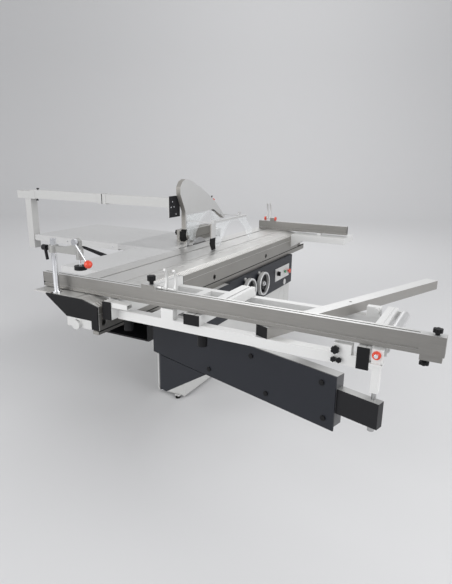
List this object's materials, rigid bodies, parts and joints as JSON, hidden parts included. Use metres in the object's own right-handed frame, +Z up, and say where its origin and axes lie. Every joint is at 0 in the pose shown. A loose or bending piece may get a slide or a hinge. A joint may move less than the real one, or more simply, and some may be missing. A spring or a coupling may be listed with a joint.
{
  "type": "sliding table saw",
  "caption": "Sliding table saw: long aluminium carriage with crosscut fence and outrigger on a swing arm, extension tables, overhead blade guard and tilting saw unit.",
  "frame": {"origin": "on the floor under the cabinet, at the carriage's blade-side edge", "axes": "+X to the outrigger, +Y along the carriage to the operator, +Z up"},
  "size_m": [3.9443, 3.245, 1.459],
  "materials": {
    "grey_paint": "satin powder coat",
    "anthracite_paint": "satin powder coat",
    "black_paint": "satin",
    "anodised": "anodised, fine brushed",
    "tube_aluminium": "anodised, light",
    "cast_iron": "ground",
    "table_paint": "satin",
    "steel": "brushed",
    "chrome": "polished",
    "black_plastic": "matte",
    "clear_plastic": "clear polycarbonate",
    "red_plastic": "gloss",
    "green_plastic": "gloss",
    "black_rubber": "matte"
  },
  "bodies": {
    "machine_frame": {"base_cabinet": "grey_paint", "base_leg": "grey_paint", "floor_feet": "black_rubber", "fixed_beam": "anodised", "beam_bumper": "tube_aluminium", "arm_bracket": "black_paint", "arm_pivot_pin": "chrome", "main_table": "cast_iron", "table_insert": "tube_aluminium", "side_table": "table_paint", "side_braces": "black_paint", "outfeed_table": "table_paint", "guard_post": "grey_paint", "rip_rail": "chrome", "control_panel": "anthracite_paint", "dust_port": "grey_paint"},
    "rip_fence_unit": {"rip_fence": "anodised"},
    "guard_arm_unit": {"guard_arm": "grey_paint"},
    "hood_unit": {"guard_hood": "anodised", "guard_screens": "clear_plastic", "shroud_frame": "tube_aluminium", "guard_brushes": "black_plastic"},
    "tilt_unit": {"tilt_frame": "cast_iron"},
    "lift_unit": {"arbor_carrier": "cast_iron", "main_motor": "anthracite_paint", "drive_belt": "black_rubber", "riving_knife": "steel"},
    "arbor": {"saw_blade": "steel"},
    "motor_rotor": {"motor_pulley": "cast_iron"},
    "scorer": {"scoring_blade": "steel"},
    "rise_wheel": {"rise_handwheel": "tube_aluminium"},
    "tilt_wheel": {"tilt_handwheel": "tube_aluminium"},
    "rise_lock": {"rise_lock_lever": "tube_aluminium"},
    "tilt_lock": {"tilt_lock_lever": "tube_aluminium"},
    "start": {"start_button": "green_plastic"},
    "stop": {"stop_button": "red_plastic"},
    "switch": {"mains_switch": "black_plastic"},
    "carriage": {"sliding_table": "anodised", "caps_and_knobs": "black_plastic", "clamp_column": "chrome", "outrigger_tubes": "tube_aluminium", "outrigger_rails": "tube_aluminium", "outrigger_strut": "tube_aluminium", "short_fence": "anodised", "side_frame": "tube_aluminium"},
    "clamp": {"clamp_arm": "cast_iron"},
    "clamp_lock": {"clamp_lever": "black_paint"},
    "clamp_spindle": {"clamp_pad": "chrome"},
    "clamp_ball": {"clamp_ball_lever": "chrome"},
    "mitre_fence": {"crosscut_fence": "anodised", "fence_knobs": "black_plastic"},
    "near_stop": {"near_flip_stop": "steel"},
    "far_stop": {"far_flip_stop": "steel"},
    "fence_slide": {"fence_extension": "tube_aluminium"},
    "support": {"support_bar": "tube_aluminium"},
    "roller": {"support_roller": "steel"},
    "swing_arm": {"swing_arm_cover": "anthracite_paint", "swing_arm_box": "steel"},
    "arm_slide": {"telescopic_tube": "black_paint", "strut_pin": "chrome"}
  },
  "joints": [
    {"name": "carriage_slide", "type": "slide", "parent": "machine_frame", "child": "carriage", "axis": [0, 1, 0], "range_m": [-0.5, 1.2]},
    {"name": "swing_arm_pivot", "type": "hinge", "parent": "machine_frame", "child": "swing_arm", "pos_m": [0.545, -1.294, 0.45], "axis": [0, 0, 1], "range_deg": [-25, 55]},
    {"name": "arm_telescope", "type": "slide", "parent": "swing_arm", "child": "arm_slide", "axis": [0.9605, -0.2782, 0], "range_m": [0, 0.27]},
    {"name": "mitre_pivot", "type": "hinge", "parent": "carriage", "child": "mitre_fence", "pos_m": [0.12, -1.613, 0.913], "axis": [0, 0, 1], "range_deg": [0, 20]},
    {"name": "fence_extend", "type": "slide", "parent": "mitre_fence", "child": "fence_slide", "axis": [1, 0, 0], "range_m": [0, 0.5]},
    {"name": "near_stop_flip", "type": "hinge", "parent": "mitre_fence", "child": "near_stop", "pos_m": [0.7, -1.6575, 0.997], "axis": [1, 0, 0], "range_deg": [-90, 0]},
    {"name": "far_stop_flip", "type": "hinge", "parent": "carriage", "child": "far_stop", "pos_m": [0.125, 1.2035, 1.011], "axis": [1, 0, 0], "range_deg": [0, 90]},
    {"name": "support_bar_swing", "type": "hinge", "parent": "carriage", "child": "support", "pos_m": [1.637, -1.082, 0.87], "axis": [0, 0, 1], "range_deg": [-10, 15]},
    {"name": "roller_turn", "type": "hinge", "parent": "carriage", "child": "roller", "pos_m": [1.92, -1.34, 0.869], "axis": [0, 1, 0], "continuous": true},
    {"name": "clamp_height", "type": "slide", "parent": "carriage", "child": "clamp", "axis": [0, 0, 1], "range_m": [-0.05, 0.03]},
    {"name": "clamp_lever_turn", "type": "hinge", "parent": "clamp", "child": "clamp_lock", "pos_m": [0.085, -1.735, 1.147], "axis": [1, 0, 0], "range_deg": [-60, 40]},
    {"name": "clamp_press", "type": "slide", "parent": "clamp", "child": "clamp_spindle", "axis": [0, 0, 1], "range_m": [0, 0.025]},
    {"name": "clamp_ball_turn", "type": "hinge", "parent": "clamp", "child": "clamp_ball", "pos_m": [0.331, -1.735, 1.2], "axis": [0, -1, 0], "range_deg": [0, 76]},
    {"name": "rip_fence_slide", "type": "slide", "parent": "machine_frame", "child": "rip_fence_unit", "axis": [1, 0, 0], "range_m": [-1.2, 0.03]},
    {"name": "guard_arm_slide", "type": "slide", "parent": "machine_frame", "child": "guard_arm_unit", "axis": [1, 0, 0], "range_m": [-0.01, 0.01]},
    {"name": "hood_lift", "type": "slide", "parent": "guard_arm_unit", "child": "hood_unit", "axis": [0, 0, 1], "range_m": [0, 0.15]},
    {"name": "tilt_wheel_turn", "type": "hinge", "parent": "machine_frame", "child": "tilt_wheel", "pos_m": [0.512, -0.014, 0.556], "axis": [1, 0, 0], "range_deg": [-2, 5402]},
    {"name": "saw_tilt", "type": "hinge", "parent": "machine_frame", "child": "tilt_unit", "pos_m": [-0.014, 0, 0.9], "axis": [0, -1, 0], "range_deg": [0, 45]},
    {"name": "rise_wheel_turn", "type": "hinge", "parent": "machine_frame", "child": "rise_wheel", "pos_m": [0.512, 0.262, 0.556], "axis": [1, 0, 0], "range_deg": [-4862, 2702]},
    {"name": "saw_lift", "type": "slide", "parent": "tilt_unit", "child": "lift_unit", "axis": [0, 0, 1], "range_m": [-0.054, 0.03]},
    {"name": "motor_turn", "type": "hinge", "parent": "lift_unit", "child": "motor_rotor", "pos_m": [-0.044, 0.06, 0.5875], "axis": [1, 0, 0], "continuous": true},
    {"name": "arbor_turn", "type": "hinge", "parent": "lift_unit", "child": "arbor", "pos_m": [-0.014, 0.06, 0.7925], "axis": [1, 0, 0], "continuous": true},
    {"name": "scorer_turn", "type": "hinge", "parent": "tilt_unit", "child": "scorer", "pos_m": [-0.014, 0.29, 0.842], "axis": [1, 0, 0], "continuous": true},
    {"name": "start_press", "type": "slide", "parent": "machine_frame", "child": "start", "axis": [-1, 0, 0], "range_m": [0, 0.004], "stiffness_N_per_m": 800, "springref_m": -0.001},
    {"name": "stop_press", "type": "slide", "parent": "machine_frame", "child": "stop", "axis": [-1, 0, 0], "range_m": [0, 0.006], "stiffness_N_per_m": 800, "springref_m": -0.001},
    {"name": "switch_turn", "type": "hinge", "parent": "machine_frame", "child": "switch", "pos_m": [0.502, 0.667, 0.56], "axis": [1, 0, 0], "range_deg": [0, 90]},
    {"name": "rise_lock_turn", "type": "hinge", "parent": "machine_frame", "child": "rise_lock", "pos_m": [0.499, 0.262, 0.556], "axis": [1, 0, 0], "range_deg": [-25, 40]},
    {"name": "tilt_lock_turn", "type": "hinge", "parent": "machine_frame", "child": "tilt_lock", "pos_m": [0.499, -0.014, 0.556], "axis": [1, 0, 0], "range_deg": [-25, 40]}
  ],
  "couplings": [
    {"joint": "swing_arm_pivot", "follows": "carriage_slide", "rad_per_m": 0.667},
    {"joint": "tilt_wheel_turn", "follows": "saw_tilt", "ratio": 120},
    {"joint": "rise_wheel_turn", "follows": "saw_lift", "rad_per_m": 1570.8},
    {"joint": "clamp_ball_turn", "follows": "clamp_press", "rad_per_m": 52.36},
    {"joint": "arbor_turn", "follows": "motor_turn", "ratio": 1.2941}
  ]
}
